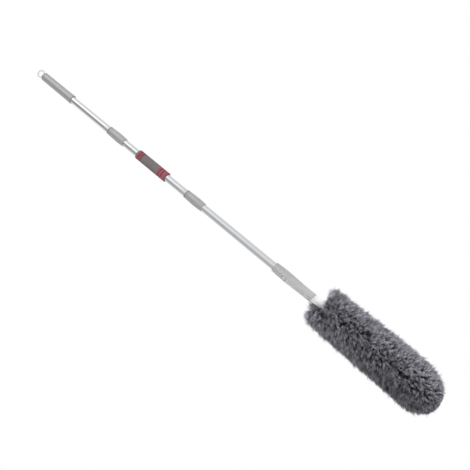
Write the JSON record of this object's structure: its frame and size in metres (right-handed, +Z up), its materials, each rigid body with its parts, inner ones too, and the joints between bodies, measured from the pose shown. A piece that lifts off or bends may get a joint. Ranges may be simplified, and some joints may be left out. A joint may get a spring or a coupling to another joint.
{
  "type": "microfiber duster",
  "caption": "Long-handled microfiber duster: screwed steel pole sections with plastic couplings, foam grip, hanging ring and a plush, bendable, pull-off head.",
  "frame": {"origin": "top of the hanging ring's eye, where a hook carries the duster", "axes": "+Z runs up along the pole, so the plush head hangs at -Z; the ring's hole runs along Y; the key slot and snap button face -Y, turned 37 degrees towards -X"},
  "size_m": [0.112, 0.112, 1.3698],
  "materials": {
    "white_plastic": "satin",
    "grey_plastic": "satin",
    "stainless_steel": "satin",
    "spring_steel": "satin",
    "aluminium_strip": "matte",
    "grey_rubber": "matte",
    "grey_foam": "matte",
    "red_foam": "matte",
    "grey_plush": "matte"
  },
  "bodies": {
    "hanger": {"hanging_ring": "white_plastic", "ring_retainer": "spring_steel"},
    "upper_section": {"end_cap": "grey_plastic", "handle_grip": "grey_plastic", "upper_tube": "stainless_steel", "upper_threaded_plug": "grey_plastic"},
    "upper_seal": {"upper_gasket": "grey_rubber"},
    "middle_section": {"upper_coupler": "grey_plastic", "middle_tube": "stainless_steel", "grip_end_upper": "grey_foam", "grip_band_upper": "red_foam", "foam_grip": "grey_foam", "grip_band_lower": "red_foam", "middle_threaded_plug": "grey_plastic"},
    "lower_seal": {"lower_gasket": "grey_rubber"},
    "lower_section": {"lower_coupler": "grey_plastic", "lower_tube": "stainless_steel", "head_socket": "grey_plastic", "spring_clip": "spring_steel"},
    "snap_button": {"clip_arm": "spring_steel", "lock_button": "white_plastic"},
    "head_base": {"head_neck": "white_plastic", "sleeve_tie": "white_plastic", "core_strip_base": "aluminium_strip", "plush_sleeve_base": "grey_plush"},
    "head_middle": {"core_bend_near": "aluminium_strip", "core_strip_middle": "aluminium_strip", "plush_sleeve_middle": "grey_plush"},
    "head_tip": {"core_bend_far": "aluminium_strip", "core_strip_tip": "aluminium_strip", "core_tip_cap": "white_plastic", "plush_sleeve_tip": "grey_plush"}
  },
  "joints": [
    {"name": "ring_swivel", "type": "hinge", "parent": "hanger", "child": "upper_section", "pos_m": [0, 0, -0.0214], "axis": [0, 0, 1], "continuous": true},
    {"name": "upper_thread_travel", "type": "slide", "parent": "upper_section", "child": "upper_seal", "axis": [0, 0, -1], "range_m": [0, 0.016]},
    {"name": "upper_thread_turn", "type": "hinge", "parent": "upper_seal", "child": "middle_section", "pos_m": [0, 0, -0.2956], "axis": [0, 0, -1], "range_deg": [0, 1440]},
    {"name": "lower_thread_travel", "type": "slide", "parent": "middle_section", "child": "lower_seal", "axis": [0, 0, -1], "range_m": [0, 0.016]},
    {"name": "lower_thread_turn", "type": "hinge", "parent": "lower_seal", "child": "lower_section", "pos_m": [0, 0, -0.5864], "axis": [0, 0, -1], "range_deg": [0, 1440]},
    {"name": "snap_button_press", "type": "hinge", "parent": "lower_section", "child": "snap_button", "pos_m": [0, 0, -0.8732], "axis": [0.7986, -0.6018, 0], "range_deg": [0, 4.24], "stiffness_Nm_per_rad": 4},
    {"name": "head_pull", "type": "slide", "parent": "lower_section", "child": "head_base", "axis": [0, 0, -1], "range_m": [0, 0.06]},
    {"name": "head_bend_near", "type": "hinge", "parent": "head_base", "child": "head_middle", "pos_m": [0, 0, -1.12484], "axis": [0, 1, 0], "range_deg": [-45, 45], "deforming": ["core_bend_near", "plush_sleeve_base", "plush_sleeve_middle"]},
    {"name": "head_bend_far", "type": "hinge", "parent": "head_middle", "child": "head_tip", "pos_m": [0, 0, -1.23984], "axis": [0, 1, 0], "range_deg": [-45, 45], "deforming": ["core_bend_far", "plush_sleeve_tip"]}
  ],
  "couplings": [
    {"joint": "upper_thread_turn", "follows": "upper_thread_travel", "rad_per_m": 1570.8},
    {"joint": "lower_thread_turn", "follows": "lower_thread_travel", "rad_per_m": 1570.8}
  ]
}
